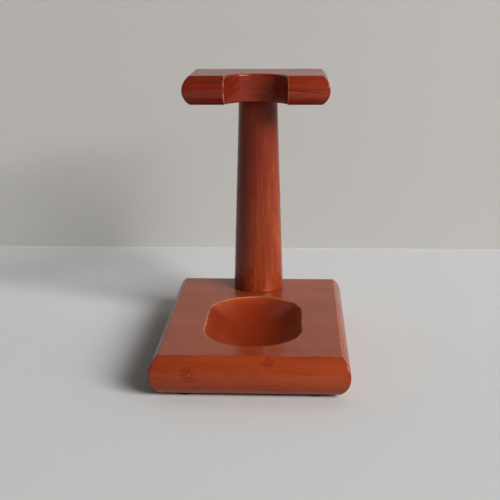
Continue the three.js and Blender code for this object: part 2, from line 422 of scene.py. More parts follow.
def head_half_outline(inset, radius):
    """Right-hand half of the head's outline, from the back of the notch to the middle of the rear."""
    front, rear, side = head_low.y + inset, head_high.y - inset, head_high.x - inset
    arris_y = front + ARRIS_EASE
    arris_x = math.sqrt((radius + ARRIS_EASE) ** 2 - (arris_y - notch_centre) ** 2)
    swing = math.atan2(arris_y - notch_centre, arris_x)
    points = arc((0, notch_centre), radius, math.pi / 2, swing, NOTCH_STEPS)[:-1]
    points += arc((arris_x, arris_y), ARRIS_EASE, swing + math.pi, 3 * math.pi / 2, ARRIS_STEPS)
    corner_x = side - CORNER_EASE
    points += arc((corner_x, front + CORNER_EASE), CORNER_EASE, -math.pi / 2, 0, CORNER_STEPS)
    points += arc((corner_x, rear - CORNER_EASE), CORNER_EASE, 0, math.pi / 2, CORNER_STEPS)
    return points + [(0, rear)]


def head_outline(height):
    """The whole outline at a height, and the wear and painted light of each of its points."""
    half = head_half_outline(head_edge.inset(height), NOTCH_RADIUS + notch_growth(height))
    edge = head_edge.wear_and_painted_shading(height)
    # The notch's face is painted darker as shade, and keeps its edge's paleness at top and bottom.
    wear_and_painted_shading = [edge - NOTCH_PAINTED_SHADE * (1 - edge)] * NOTCH_STEPS
    # The arris where the notch breaks out is made pale: wear and a painted highlight.
    wear_and_painted_shading += [max(edge, ARRIS_WEAR_AND_HIGHLIGHT * hump(i / ARRIS_STEPS)) for i in range(ARRIS_STEPS + 1)]
    wear_and_painted_shading += corner_wear_and_highlight(edge) * 2 + [edge]
    mirrored = [(-x, y) for x, y in reversed(half[1:-1])]
    return half + mirrored, wear_and_painted_shading + wear_and_painted_shading[-2:0:-1]


def make_head_plate():
    shell = Shell()
    loops = []
    for height in head_edge.heights(NOTCH_EASE):
        outline, wear_and_painted_shading = head_outline(height)
        loops.append(shell.loop(lift(outline, head_low.z + height), wear_and_painted_shading))
    shell.loft(loops)
    hole_radius = dowel_radius + FIT_GAP
    hole_top = dowel_high.z + END_GAP
    mouth = shell.loop(ring(post_middle, hole_radius, head_low.z))
    floor = shell.loop(ring(post_middle, hole_radius, hole_top))
    shell.join(mouth, floor)
    shell.fill(floor)
    shell.fill(loops[-1])
    shell.fill(loops[0], mouth)
    return shell.finish("stained_head_plate")


head_plate = make_head_plate()

# %% [markdown]
# ## Wiring nodes by hand
#
# The finishes and the turned pieces are both made by node trees, and a tree in a script is easier to read
# when adding a node and feeding its sockets take one short line, so these shorthands come first. `noise` is
# the one that does most of the work: wood looks like wood because everything in it is drawn out along the
# grain.

# %% Shorthands for node trees
class Wiring:
    """Adds nodes to one tree and links them."""

    def __init__(self, tree):
        self.tree = tree

    def node(self, kind, **settings):
        node = self.tree.nodes.new(kind)
        for key, value in settings.items():
            setattr(node, key, value)
        return node

    def feed(self, socket, value):
        if isinstance(value, bpy.types.NodeSocket):
            self.tree.links.new(value, socket)
        else:
            socket.default_value = value

    def made(self, kind, inputs, **settings):
        """Adds a node, feeds the named inputs and returns its outputs."""
        node = self.node(kind, **settings)
        for label, value in inputs.items():
            self.feed(node.inputs[label], value)
        return node.outputs

    def math(self, operation, *values):
        inputs = dict(enumerate(values))
        return self.made("ShaderNodeMath", inputs, operation=operation)[0]

    def times(self, a, b):
        return self.math("MULTIPLY", a, b)

    def vector(self, operation, *values):
        outputs = self.made("ShaderNodeVectorMath", dict(enumerate(values)), operation=operation)
        return outputs["Value" if operation == "DOT_PRODUCT" else "Vector"]

    def weighted(self, *pairs):
        """The sum of value times weight."""
        total = self.times(*pairs[0])
        for value, weight in pairs[1:]:
            total = self.math("MULTIPLY_ADD", value, weight, total)
        return total

    def off_middle(self, value):
        """Turns 0 to 1 into -0.5 to 0.5."""
        return self.math("SUBTRACT", value, 0.5)

    def clamped(self, value):
        return self.math("MINIMUM", self.math("MAXIMUM", value, 0.0), 1.0)

    def length(self, a, b):
        return self.math("SQRT", self.math("ADD", self.times(a, a), self.times(b, b)))

    def split(self, vector):
        """The x, y and z of a vector."""
        return self.made("ShaderNodeSeparateXYZ", {0: vector})

    def bump(self, shader, height, strength, distance):
        inputs = {"Strength": strength, "Distance": distance, "Height": height}
        self.feed(shader.inputs["Normal"], self.made("ShaderNodeBump", inputs)["Normal"])

    def between(self, value, low, high, start=0.0, end=1.0):
        """Goes smoothly from start to end while the value goes from low to high."""
        inputs = {"Value": value, "From Min": low, "From Max": high, "To Min": start, "To Max": end}
        return self.made("ShaderNodeMapRange", inputs, interpolation_type="SMOOTHSTEP")["Result"]

    def mix(self, factor, first, second):
        """Two colours. The shader's mix node keeps its colour sockets at places 6 and 7, and 2."""
        return self.made("ShaderNodeMix", {0: factor, 6: first, 7: second}, data_type="RGBA")[2]

    def noise(self, place, length, width, detail=3.0, seed=0.0):
        """Noise from 0 to 1 in spots that are `length` mm long in x and `width` mm across."""
        scale = (1 / length, 1 / width, 1 / width)
        scaled = self.vector("MULTIPLY_ADD", place, scale, (seed, seed, -seed))
        inputs = {"Vector": scaled, "Scale": 1.0, "Detail": detail}
        return self.made("ShaderNodeTexNoise", inputs, noise_dimensions="3D")[0]

# %% [markdown]
# ## Stained wood under satin varnish
#
# A flat wood colour gives itself away at the corners, because real grain runs through the solid: long lines
# on the faces, and the cut ends of the same lines on the end grain. So the pattern here is a solid one. It
# reads Object coordinates in millimetres, turned so that x is the grain, and is built up as a tree grows:
# rings round a pith, bent by slow noise, then fibres, then pores. Stain is blotchy and the end grain drinks
# more of it. The value on the loops makes the stain paler on the eased edges and the dish's rim, partly as
# stain thinned by sanding and partly as a painted highlight. It also makes the stain darker and redder: at
# the corners as stain that gathered there, in the dish partly as soaked stain and partly as painted shade,
# and in the notch as painted shade. A slope along the grain paints shade into the stain: darker towards the
# top of the post, where the head's shadow falls, and darker towards the left of the head and paler towards
# its right, as the window's light falls. How deep it goes is a guess. The varnish on top is the shader's
# coat, and the wood under it has its own uneven gloss.

# %% The wood finish
X_AXIS = (1, 0, 0)
Z_AXIS = (0, 0, 1)
# Pale wood for rubbed edges and knot specks; on the edges and the rim it also paints the varnish's highlight.
PALE_WOOD_AND_HIGHLIGHT = (0.50, 0.26, 0.15)
KNOT_RED = (0.15, 0.006, 0.002)
# Dark red for stain gathered at edges and corners, and for painted shade in the dish and the notch.
SOAK_AND_SHADE_RED = (0.18, 0.009, 0.003)
PORE_SHADE = 0.38
END_GRAIN_STAIN = 0.16
KNOT_STAIN = 0.36
SPECK_PALENESS = 0.22
STREAK_DARKNESS = 0.55
WOOD_ROUGHNESS = 0.14
SOAK_AND_SHADE = 0.48
GATHERED_STAIN = 0.9
# How pale the edges are made: wear and painted highlight.
RUBBED_AND_HIGHLIGHT = 0.7
VARNISH = {
    "IOR": 1.5, "Specular IOR Level": 0.32,
    "Coat Weight": 0.18, "Coat Roughness": 0.14, "Coat IOR": 1.5,
}

# Length along the grain and width across it, in mm.
FIBRES = (42, 1.3)
HAIRS = (14, 0.34)
PORES = (4.2, 0.36)
BLOTCHES = (30, 16)
RUBBED_PATCHES = (18, 6)


def new_finish(name):
    """An empty material with one Principled shader. Returns the material, its wiring and the shader."""
    material = bpy.data.materials.new(name)
    material.use_nodes = True
    material.node_tree.nodes.clear()
    w = Wiring(material.node_tree)
    shader = w.node("ShaderNodeBsdfPrincipled")
    w.made("ShaderNodeOutputMaterial", {"Surface": shader.outputs["BSDF"]})
    return material, w, shader


def grain_place(w, grain, centre=(0, 0, 0)):
    """Object coordinates in mm, turned so that the grain is x, with the given place moved to the middle."""
    coordinates = w.node("ShaderNodeTexCoord").outputs
    quarter_turn = math.pi / 2 if grain == Z_AXIS else 0
    inputs = {"Vector": coordinates["Object"], "Scale": (1 / MM,) * 3, "Location": centre}
    inputs["Rotation"] = (0, quarter_turn, 0)
    along = w.vector("DOT_PRODUCT", coordinates["Normal"], grain)
    return w.made("ShaderNodeMapping", inputs)["Vector"], w.math("ABSOLUTE", along)


def growth_rings(w, place, pith, spacing, seed):
    """0 in the soft early wood, 1 on the dense line that ends each year."""
    bend = w.noise(place, 70, 22, detail=2, seed=seed)
    ripple = w.noise(place, 25, 5, detail=2, seed=seed + 3)
    _, y, z = w.split(place)
    distance = w.length(w.math("SUBTRACT", y, pith[0]), w.math("SUBTRACT", z, pith[1]))
    year = w.weighted((distance, 1 / spacing), (bend, 5.0), (ripple, 0.7))
    phase = w.math("FRACT", year)
    rise = w.between(phase, 0.25, 0.92)
    fall = w.between(phase, 0.94, 1.0, 1.0, 0.0)
    return w.times(rise, fall)


def knot_marks(w, place, knots, front):
    """Crooked rings round small pin knots, and a pale speck in each. Knots are (x, height, radius) in mm."""
    across, inwards, up = w.split(place)
    crook = w.off_middle(w.noise(place, 1.6, 1.6, detail=1, seed=73))
    behind = w.between(inwards, front + 3, front + 6, 1.0, 0.0)
    rings, specks = 0.0, 0.0
    for x, height, radius in knots:
        dx = w.times(w.math("SUBTRACT", across, x), 0.7)
        distance = w.length(dx, w.math("SUBTRACT", up, height))
        distance = w.math("MULTIPLY_ADD", crook, radius * 2.0, distance)
        inner = w.between(distance, radius * 0.2, radius * 0.6, 0.25, 1.0)
        outer = w.between(distance, radius * 0.7, radius * 1.2, 1.0, 0.0)
        rings = w.math("MAXIMUM", w.times(inner, outer), rings)
        speck = w.between(distance, radius * 0.1, radius * 0.3, 1.0, 0.0)
        specks = w.math("MAXIMUM", speck, specks)
    return w.times(rings, behind), w.times(specks, behind)


def dark_streak(w, place, start, end, width):
    """A thin dark line on the front, from start to end as (x, height) in mm, fading at both ends."""
    x, _, z = w.split(place)
    slope = (end[1] - start[1]) / (end[0] - start[0])
    line = w.math("MULTIPLY_ADD", x, slope, start[1] - slope * start[0])
    wander = w.off_middle(w.noise(place, 5, 5, detail=2, seed=71))
    off = w.math("ABSOLUTE", w.math("ADD", w.math("SUBTRACT", z, line), wander))
    across = w.between(off, width * 0.2, width, 1.0, 0.0)
    begins = w.between(x, start[0], start[0] + 3)
    ends = w.between(x, end[0] - 6, end[0], 1.0, 0.0)
    return w.times(across, w.times(begins, ends))


def wear_and_painted_light_value(w):
    return w.node("ShaderNodeAttribute", attribute_name="wear_and_painted_light").outputs["Fac"]


def stained_wood(
    name, grain, centre, pith, pale, deep, spacing=2.4, knots=(), streak=None,
    painted_shade_slope=0.0, strength=1.0, porous=0.4, seed=0.0,
):
    """Places are in mm. A slope above 0 makes the far end of the grain paler, and below 0 deeper, which
    paints light and shade into the stain.
    """
    material, w, shader = new_finish(name)
    place, end_grain = grain_place(w, grain, centre)
    rings = growth_rings(w, place, pith, spacing, seed)
    fibres = w.noise(place, *FIBRES, detail=4, seed=seed + 11)
    hairs = w.noise(place, *HAIRS, detail=2, seed=seed + 17)
    blotches = w.noise(place, *BLOTCHES, detail=3, seed=seed + 23)
    pores = w.between(w.noise(place, *PORES, detail=1, seed=seed + 29), 0.62, 0.70)

    # A slope along the grain paints light and shade into the stain, darker towards one end.
    lengthwise = w.vector("DOT_PRODUCT", place, X_AXIS)
    depth = w.weighted(
        (w.off_middle(fibres), 0.7 * strength), (w.off_middle(hairs), 0.6 * strength),
        (rings, 0.12 * strength), (w.off_middle(blotches), 0.75), (lengthwise, -painted_shade_slope),
    )
    depth = w.between(w.math("ADD", depth, 0.42), 0.0, 1.0)
    colour = w.mix(depth, (*pale, 1), (*deep, 1))

    ends = w.between(end_grain, 0.45, 0.95)
    dark = tuple(channel * PORE_SHADE for channel in deep)
    colour = w.mix(w.times(pores, porous), colour, (*dark, 1))
    colour = w.mix(w.times(ends, END_GRAIN_STAIN), colour, (*dark, 1))
    if knots:
        knot_rings, specks = knot_marks(w, place, knots, base_low.y / MM)
        colour = w.mix(w.times(knot_rings, KNOT_STAIN), colour, (*KNOT_RED, 1))
        colour = w.mix(w.times(specks, SPECK_PALENESS), colour, (*PALE_WOOD_AND_HIGHLIGHT, 1))
    if streak:
        line = w.times(dark_streak(w, place, *streak), STREAK_DARKNESS)
        colour = w.mix(line, colour, (*dark, 1))

    # Above 0 the stain is made paler: rubbed wear and a painted highlight along the edges and the rim.
    wear_and_painted_light = wear_and_painted_light_value(w)
    patchy = w.noise(place, *RUBBED_PATCHES, detail=2, seed=seed + 31)
    spare = w.math("SUBTRACT", wear_and_painted_light, w.between(patchy, 0.38, 0.62, 0.0, 1.3))
    edges = w.clamped(wear_and_painted_light)
    rubbed_and_highlight = w.times(w.clamped(spare), RUBBED_AND_HIGHLIGHT)
    gathered = w.times(w.math("MINIMUM", spare, 0.0), edges)
    # Below 0 the stain is made darker and redder: gathered stain at edges and corners, and in the dish and
    # the notch also painted shade.
    soak_and_shade = w.weighted((w.math("MINIMUM", wear_and_painted_light, 0.0), -SOAK_AND_SHADE), (gathered, -GATHERED_STAIN))
    colour = w.mix(soak_and_shade, colour, (*SOAK_AND_SHADE_RED, 1))
    colour = w.mix(rubbed_and_highlight, colour, (*PALE_WOOD_AND_HIGHLIGHT, 1))
    w.feed(shader.inputs["Base Color"], colour)

    gloss = w.weighted((fibres, 0.12), (blotches, 0.10), (pores, 0.10), (rubbed_and_highlight, 0.10))
    w.feed(shader.inputs["Roughness"], w.math("ADD", gloss, WOOD_ROUGHNESS))
    for socket, value in VARNISH.items():
        shader.inputs[socket].default_value = value

    flow = w.noise(place, 7, 4, detail=1, seed=seed + 37)
    nibs = w.between(w.noise(place, 0.8, 0.8, detail=0, seed=seed + 41), 0.80, 0.88)
    height = w.weighted(
        (fibres, 0.5 * strength), (hairs, 0.28 * strength),
        (pores, -0.5), (rings, 0.2), (flow, 0.9), (nibs, 0.5),
    )
    w.bump(shader, height, 0.55, 0.035 * MM)
    print(f"{name}: {len(w.tree.nodes)} nodes")
    return material


post_centre = (0, -post_middle.y / MM, 0)
base_stain = stained_wood(
    "red-brown stain, base", X_AXIS, (0, 0, 0), (30, -46),
    (0.39, 0.078, 0.021), (0.25, 0.040, 0.012), 2.6,
    knots=((7.4, 15.2, 1.6), (-24.4, 10.5, 2.0)), strength=0.6, seed=2.0,
)
# The post's stain is painted darker towards its top, as painted shade where the head's shadow falls.
post_stain = stained_wood(
    "red-brown stain, post", Z_AXIS, post_centre, (26, 18),
    (0.47, 0.108, 0.029), (0.21, 0.029, 0.009), 2.1,
    painted_shade_slope=-0.004, strength=0.75, porous=0.75, seed=14.0,
)
# The head's stain is painted darker to its left and paler to its right, as painted light and shade from the
# window.
head_stain = stained_wood(
    "red-brown stain, head", X_AXIS, (0, 0, 0), (70, 62),
    (0.31, 0.046, 0.017), (0.145, 0.015, 0.007), 2.3,
    streak=((13.0, 114.4), (31.0, 112.8), 0.5), painted_shade_slope=0.0055, seed=9.0,
)

# %% [markdown]
# ## Beech, zinc and rubber
#
# Beech is pale, with short brown flecks along the grain. Zinc plating is a grey metal with a faint crystal
# mottle that makes it patchy in both colour and gloss. Rubber is nearly black and dull, with a fine grain
# from its mould and a little dust.

# %% The other finishes
def bare_beech(name, centre):
    material, w, shader = new_finish(name)
    place, end_grain = grain_place(w, Z_AXIS, centre)
    fibres = w.noise(place, 16, 0.6, detail=4, seed=41)
    flecks = w.between(w.noise(place, 2.2, 0.28, detail=1, seed=43), 0.62, 0.7)
    colour = w.mix(fibres, (0.62, 0.42, 0.24, 1), (0.42, 0.25, 0.13, 1))
    colour = w.mix(w.times(flecks, 0.6), colour, (0.22, 0.11, 0.05, 1))
    colour = w.mix(w.times(end_grain, 0.3), colour, (0.26, 0.15, 0.08, 1))
    w.feed(shader.inputs["Base Color"], colour)
    w.feed(shader.inputs["Roughness"], w.math("MULTIPLY_ADD", fibres, 0.2, 0.55))
    w.bump(shader, w.weighted((fibres, 1.0), (flecks, -0.6)), 0.5, 0.05 * MM)
    return material


def spotted_finish(name, metallic, tones, rough, mottle, grain_size, dent):
    """A finish without a direction: two tones in patches, with a fine grain in its gloss and its surface."""
    material, w, shader = new_finish(name)
    place, _ = grain_place(w, X_AXIS)
    patches = w.noise(place, mottle, mottle, detail=3, seed=53)
    fine = w.noise(place, grain_size, grain_size, detail=2, seed=59)
    shade = w.between(w.weighted((patches, 0.8), (fine, 0.4), (wear_and_painted_light_value(w), 0.5)), 0.35, 0.95)
    w.feed(shader.inputs["Base Color"], w.mix(shade, (*tones[0], 1), (*tones[1], 1)))
    gloss = w.weighted((patches, rough * 0.5), (fine, rough * 0.3), (rough, 0.6))
    w.feed(shader.inputs["Roughness"], gloss)
    shader.inputs["Metallic"].default_value = metallic
    w.bump(shader, fine, 0.5, dent)
    return material


beech = bare_beech("bare beech", post_centre)
zinc = spotted_finish(
    "zinc plate", 1.0, ((0.42, 0.43, 0.44), (0.68, 0.69, 0.70)), 0.36, 1.6, 0.25, 0.02 * MM
)
rubber = spotted_finish(
    "black rubber", 0.0, ((0.012, 0.012, 0.012), (0.045, 0.043, 0.041)), 0.8, 2.5, 0.22, 0.04 * MM
)
base_board.data.materials.append(base_stain)
head_plate.data.materials.append(head_stain)

# %% [markdown]
# ## Turned pieces
#
# The post, the screw, its washer, the dowel and the pads are all round. On the bench they come off a lathe:
# a tool follows a profile while the work spins. A Geometry Nodes tree does the same here. It takes a
# profile drawn as a line of points, lays a grid with one row for each of them, and turns every row round
# the axis. Spin in bmesh would do the job too, but this tree is written once and serves every round piece.

# %% The lathe
def new_tree(name, **sockets):
    """A Geometry Nodes tree with a geometry in and out and the named inputs. Returns its wiring."""
    tree = bpy.data.node_groups.new(name, "GeometryNodeTree")
    for way in ("INPUT", "OUTPUT"):
        tree.interface.new_socket("Geometry", in_out=way, socket_type="NodeSocketGeometry")
    for label, kind in sockets.items():
        label = label.replace("_", " ")
        tree.interface.new_socket(label, in_out="INPUT", socket_type="NodeSocket" + kind)
    w = Wiring(tree)
    w.given = w.node("NodeGroupInput").outputs
    w.result = w.node("NodeGroupOutput").inputs["Geometry"]
    return w


def end_tree(w, geometry):
    """Realize Instances and Set Material, which every tree ends with."""
    real = w.made("GeometryNodeRealizeInstances", {"Geometry": geometry})["Geometry"]
    inputs = {"Geometry": real, "Material": w.given["Finish"]}
    w.feed(w.result, w.made("GeometryNodeSetMaterial", inputs)["Geometry"])
    print(f"tree '{w.tree.name}': {len(w.tree.nodes)} nodes")
    return w.tree


def sample(w, kind, value, row):
    """The profile's value at one of its points."""
    inputs = {"Geometry": w.given["Geometry"], "Value": value, "Index": row}
    return w.made("GeometryNodeSampleIndex", inputs, data_type=kind, domain="POINT")[0]


def lathe_tree():
    w = new_tree("turn on a lathe", Sides="Int", Finish="Material")
    profile = {"Geometry": w.given["Geometry"]}
    rows = w.made("GeometryNodeAttributeDomainSize", profile, component="MESH")["Point Count"]
    columns = w.math("ADD", w.given["Sides"], 1)
    grid = w.made("GeometryNodeMeshGrid", {"Vertices X": rows, "Vertices Y": columns})["Mesh"]

    index = w.node("GeometryNodeInputIndex").outputs[0]
    row = w.math("FLOOR", w.math("DIVIDE", w.math("ADD", index, 0.5), columns))
    column = w.math("SUBTRACT", index, w.times(row, columns))
    angle = w.times(w.math("DIVIDE", column, w.given["Sides"]), math.tau)
    drawn = sample(w, "FLOAT_VECTOR", w.node("GeometryNodeInputPosition").outputs[0], row)
    turned = w.made("ShaderNodeVectorRotate", {"Vector": drawn, "Angle": angle}, rotation_type="Z_AXIS")
    place = {"Geometry": grid, "Position": turned["Vector"]}
    moved = w.made("GeometryNodeSetPosition", place)["Geometry"]

    wear_and_painted_shading = w.made("GeometryNodeInputNamedAttribute", {"Name": "wear_and_painted_light"}, data_type="FLOAT")["Attribute"]
    values = {"Geometry": moved, "Name": "wear_and_painted_light", "Value": sample(w, "FLOAT", wear_and_painted_shading, row)}
    stored = w.made("GeometryNodeStoreNamedAttribute", values, data_type="FLOAT", domain="POINT")
    seam = {"Geometry": stored["Geometry"], "Distance": SAME_PLACE}
    return end_tree(w, w.made("GeometryNodeMergeByDistance", seam)["Geometry"])


LATHE = lathe_tree()

# %% Draw a profile and turn it
SMOOTH_BELOW = math.radians(35)
SEAM_GAP = 1e-6


def run_tree(piece, tree, **values):
    """Put the piece through a tree, keep the result as a plain mesh and take the modifier off."""
    identifiers = {item.name: item.identifier for item in tree.interface.items_tree}
    modifier = piece.modifiers.new(tree.name, "NODES")
    modifier.node_group = tree
    for label, value in values.items():
        modifier[identifiers[label.replace("_", " ")]] = value
    keep_result(piece)


def keep_result(piece):
    graph = bpy.context.evaluated_depsgraph_get()
    result = bpy.data.meshes.new_from_object(piece.evaluated_get(graph))
    piece.modifiers.clear()
    drawn = piece.data
    piece.data = result
    bpy.data.meshes.remove(drawn)


def draw_profile(name, points):
    """A line of points from (radius, height, wear), in the plane that the lathe turns."""
    mesh = bpy.data.meshes.new(name)
    edges = [(i, i + 1) for i in range(len(points) - 1)]
    mesh.from_pydata([(radius, 0, height) for radius, height, _ in points], edges, [])
    wear_and_painted_shading = mesh.attributes.new("wear_and_painted_light", "FLOAT", "POINT")
    for i, point in enumerate(points):
        wear_and_painted_shading.data[i].value = point[2]
    return add_object(name, mesh)


def close_up(piece, middle=None):
    """Merge the seam and the poles, turn the faces outwards, and smooth all but the sharp corners."""
    bm = bmesh.new()
    bm.from_mesh(piece.data)
    bmesh.ops.remove_doubles(bm, verts=bm.verts, dist=SEAM_GAP)
    bmesh.ops.dissolve_degenerate(bm, edges=bm.edges, dist=SAME_PLACE)
    if middle:
        bmesh.ops.translate(bm, verts=bm.verts, vec=(middle.x, middle.y, 0))
    bmesh.ops.recalc_face_normals(bm, faces=bm.faces)
    for face in bm.faces:
        face.smooth = True
    write_mesh(bm, piece.data, piece.name)
    piece.data.set_sharp_from_angle(angle=SMOOTH_BELOW)
    return piece


def turn(name, points, sides, finish):
    piece = draw_profile(name, points)
    run_tree(piece, LATHE, Sides=sides, Finish=finish)
    return piece


def eased(corner, before, after, ease):
    """Points round a corner of a profile, cut back by `ease` towards its two neighbours and rounded."""
    corner, before, after = Vector(corner), Vector(before), Vector(after)
    start = corner + (before - corner).normalized() * ease
    end = corner + (after - corner).normalized() * ease
    points = []
    for i in range(EASE_STEPS + 1):
        t = i / EASE_STEPS
        spot = blend(start, corner, end, t)
        points.append((spot.x, spot.y, hump(t)))
    return points

# %% [markdown]
# ## The post
#
# The post is turned in one piece with its spigot: a straight taper, with a crisp shoulder that sits on the
# board and a flat top under the head. Its foot is eased by half a millimetre, which is what draws the thin
# dark line where it meets the board. The screw's hole comes in from below and the dowel's from above, so
# the profile starts and ends inside.

# %% Turn the post
POST_EASE = 0.5 * MM
SPIGOT_EASE = 0.8 * MM
POST_SIDES = 128
TAPER_STEPS = 40


def straight(start, end, steps):
    """Points on a straight part of a profile, without its ends."""
    return [
        (start[0] + (end[0] - start[0]) * i / steps, start[1] + (end[1] - start[1]) * i / steps, 0)
        for i in range(1, steps)
    ]


def post_profile():
    pilot = SCREW_RADIUS + FIT_GAP
    pilot_top = screw_high.z + END_GAP
    dowel_hole = dowel_radius + FIT_GAP
    foot = (post_bottom_radius, base_high.z)
    top = (POST_TOP_RADIUS, post_high.z)
    spigot = (SPIGOT_RADIUS, post_low.z)
    points = [(0, pilot_top, 0), (pilot, pilot_top, 0), (pilot, post_low.z, 0)]
    points += eased(spigot, (pilot, post_low.z), (SPIGOT_RADIUS, base_high.z), SPIGOT_EASE)
    points += [(SPIGOT_RADIUS, base_high.z, 0)]
    points += eased(foot, (SPIGOT_RADIUS, base_high.z), top, POST_EASE)
    points += straight(foot, top, TAPER_STEPS)
    points += eased(top, foot, (0, post_high.z), POST_EASE)
    hole_floor = dowel_low.z - END_GAP
    return points + [(dowel_hole, post_high.z, 0), (dowel_hole, hole_floor, 0), (0, hole_floor, 0)]


post = close_up(turn("turned_post", post_profile(), POST_SIDES, post_stain), post_middle)

# %% [markdown]
# ## Threads and flutes
#
# A screw thread and the flutes of a dowel are alike: grooves that wind round a bar, fast in one case and
# hardly at all in the other. One tree cuts both. It finds where each point lies between two grooves from
# its height and its angle, and pushes it inwards by that much.

# %% Cut grooves round a bar
DEEPEST_SHARE = 0.6
GROOVE_FADE = 1.5 * MM


def groove_tree():
    w = new_tree(
        "cut grooves round a bar", Starts="Float", Turns_per_metre="Float", Depth="Float",
        From_height="Float", To_height="Float", Fade="Float", Finish="Material",
    )
    x, y, z = w.split(w.node("GeometryNodeInputPosition").outputs[0])
    around = w.times(w.math("DIVIDE", w.math("ARCTAN2", y, x), math.tau), w.given["Starts"])
    phase = w.math("SUBTRACT", w.times(z, w.given["Turns per metre"]), around)
    wave = w.math("MULTIPLY_ADD", w.math("COSINE", w.times(phase, math.tau)), 0.5, 0.5)
    groove = w.math("SUBTRACT", 1.0, w.math("POWER", w.math("SUBTRACT", 1.0, wave), 2.0))
    start, stop, fade = w.given["From height"], w.given["To height"], w.given["Fade"]
    begins = w.between(z, start, w.math("ADD", start, fade))
    ends = w.between(z, w.math("SUBTRACT", stop, fade), stop, 1.0, 0.0)
    depth = w.times(groove, w.given["Depth"])
    cut = w.times(depth, w.times(begins, ends))
    cut = w.math("MINIMUM", cut, w.times(w.length(x, y), DEEPEST_SHARE))
    outwards = w.made("ShaderNodeCombineXYZ", {"X": x, "Y": y})[0]
    push = {"Vector": w.vector("NORMALIZE", outwards), "Scale": w.times(cut, -1.0)}
    inwards = w.made("ShaderNodeVectorMath", push, operation="SCALE")["Vector"]
    shift = {"Geometry": w.given["Geometry"], "Offset": inwards}
    return end_tree(w, w.made("GeometryNodeSetPosition", shift)["Geometry"])


GROOVES = groove_tree()

# %% [markdown]
# ## Screw, washer and dowel
#
# From below, a round-headed wood screw pulls the post down into its socket. Its head and its washer sit in
# the counterbore. The thread stops short of the head, so the plain shank slips through the board while the
# thread pulls. The dowel between the post and the head is the fluted kind, which lets spare glue out of its
# hole.

# %% Turn and cut the wood screw
THREAD_PITCH = 1.8 * MM
THREAD_DEPTH = 0.6 * MM
THREAD_LENGTH = 19 * MM
SCREW_POINT = 4 * MM
SCREW_HEAD_HEIGHT = 2.4 * MM
CROSS_LENGTH = 4 * MM
CROSS_WIDTH = 1 * MM
CROSS_DEPTH = 1.2 * MM
CROSS_TAPER = 0.62
FINE_STEP = 0.12 * MM
NECK_FILLET = 0.3 * MM
DOME_STEPS = 12


def screw_profile():
    seat = screw_low.z + SCREW_HEAD_HEIGHT
    points = []
    for i in range(DOME_STEPS + 1):
        angle = math.pi / 2 * i / DOME_STEPS
        dome = (screw_head_radius * math.sin(angle), seat - SCREW_HEAD_HEIGHT * math.cos(angle))
        points.append((*dome, 0))
    points += [(SCREW_RADIUS + NECK_FILLET, seat, 0), (SCREW_RADIUS, seat + NECK_FILLET, 0)]
    point_start = screw_high.z - SCREW_POINT
    start = (SCREW_RADIUS, seat + NECK_FILLET)
    shoulder = (SCREW_RADIUS, point_start)
    points += straight(start, shoulder, round((point_start - start[1]) / FINE_STEP))
    tip = (0, screw_high.z)
    points += [(*shoulder, 0)] + straight(shoulder, tip, round(SCREW_POINT / FINE_STEP)) + [(*tip, 0)]
    return points


def cross_cutter(base_z):
    """Two crossed wedges that narrow upwards into the head, as the driver's tip does."""
    bm = bmesh.new()
    for turn_angle in (0, math.pi / 2):
        corners = [(-0.5, -0.5), (0.5, -0.5), (0.5, 0.5), (-0.5, 0.5)]
        verts = []
        for z, narrow in ((base_z - CROSS_DEPTH, 1.0), (base_z + CROSS_DEPTH, CROSS_TAPER)):
            for x, y in corners:
                spot = Vector((x * CROSS_LENGTH * narrow, y * CROSS_WIDTH * narrow, z))
                verts.append(bm.verts.new(Matrix.Rotation(turn_angle, 3, "Z") @ spot))
        bm.faces.new(verts[0:4])
        bm.faces.new(verts[4:8])
        for i in range(4):
            j = (i + 1) % 4
            bm.faces.new((verts[i], verts[j], verts[4 + j], verts[4 + i]))
    bmesh.ops.recalc_face_normals(bm, faces=bm.faces)
    return new_piece("driver tip", bm)


screw = turn("wood_screw", screw_profile(), 36, zinc)
run_tree(
    screw, GROOVES, Starts=1.0, Turns_per_metre=1 / THREAD_PITCH, Depth=THREAD_DEPTH,
    From_height=screw_high.z - THREAD_LENGTH, To_height=screw_high.z + 1 * MM,
    Fade=GROOVE_FADE, Finish=zinc,
)
close_up(screw)
cutter = cross_cutter(screw_low.z)
recess = screw.modifiers.new("cross recess", "BOOLEAN")
recess.operation = "DIFFERENCE"
recess.solver = "EXACT"
recess.use_self = True
recess.object = cutter
keep_result(screw)
bpy.data.objects.remove(cutter)
close_up(screw, post_middle)

# %% Turn the washer and the fluted dowel
WASHER_EASE = 0.2 * MM
DOWEL_CHAMFER = 0.8 * MM
FLUTES = 14
FLUTE_DEPTH = 0.3 * MM


def washer_profile():
    hole = SCREW_RADIUS + FIT_GAP
    low, high = washer_low.z, washer_high.z
    corners = [(hole, low), (washer_radius, low), (washer_radius, high), (hole, high)]
    points = []
    for i in range(4):
        points += eased(corners[i], corners[i - 1], corners[(i + 1) % 4], WASHER_EASE)
    return points + points[:1]


def dowel_profile():
    low, high = dowel_low.z, dowel_high.z
    lower, upper = (dowel_radius, low + DOWEL_CHAMFER), (dowel_radius, high - DOWEL_CHAMFER)
    points = [(0, low, 0), (dowel_radius - DOWEL_CHAMFER, low, 0.5), (*lower, 0)]
    points += straight(lower, upper, 24)
    return points + [(*upper, 0), (dowel_radius - DOWEL_CHAMFER, high, 0.5), (0, high, 0)]


washer = close_up(turn("screw_washer", washer_profile(), 64, zinc), post_middle)
dowel = turn("fluted_dowel", dowel_profile(), 112, beech)
run_tree(
    dowel, GROOVES, Starts=float(FLUTES), Turns_per_metre=12.0, Depth=FLUTE_DEPTH,
    From_height=dowel_low.z + DOWEL_CHAMFER, To_height=dowel_high.z - DOWEL_CHAMFER,
    Fade=GROOVE_FADE, Finish=beech,
)
close_up(dowel, post_middle)

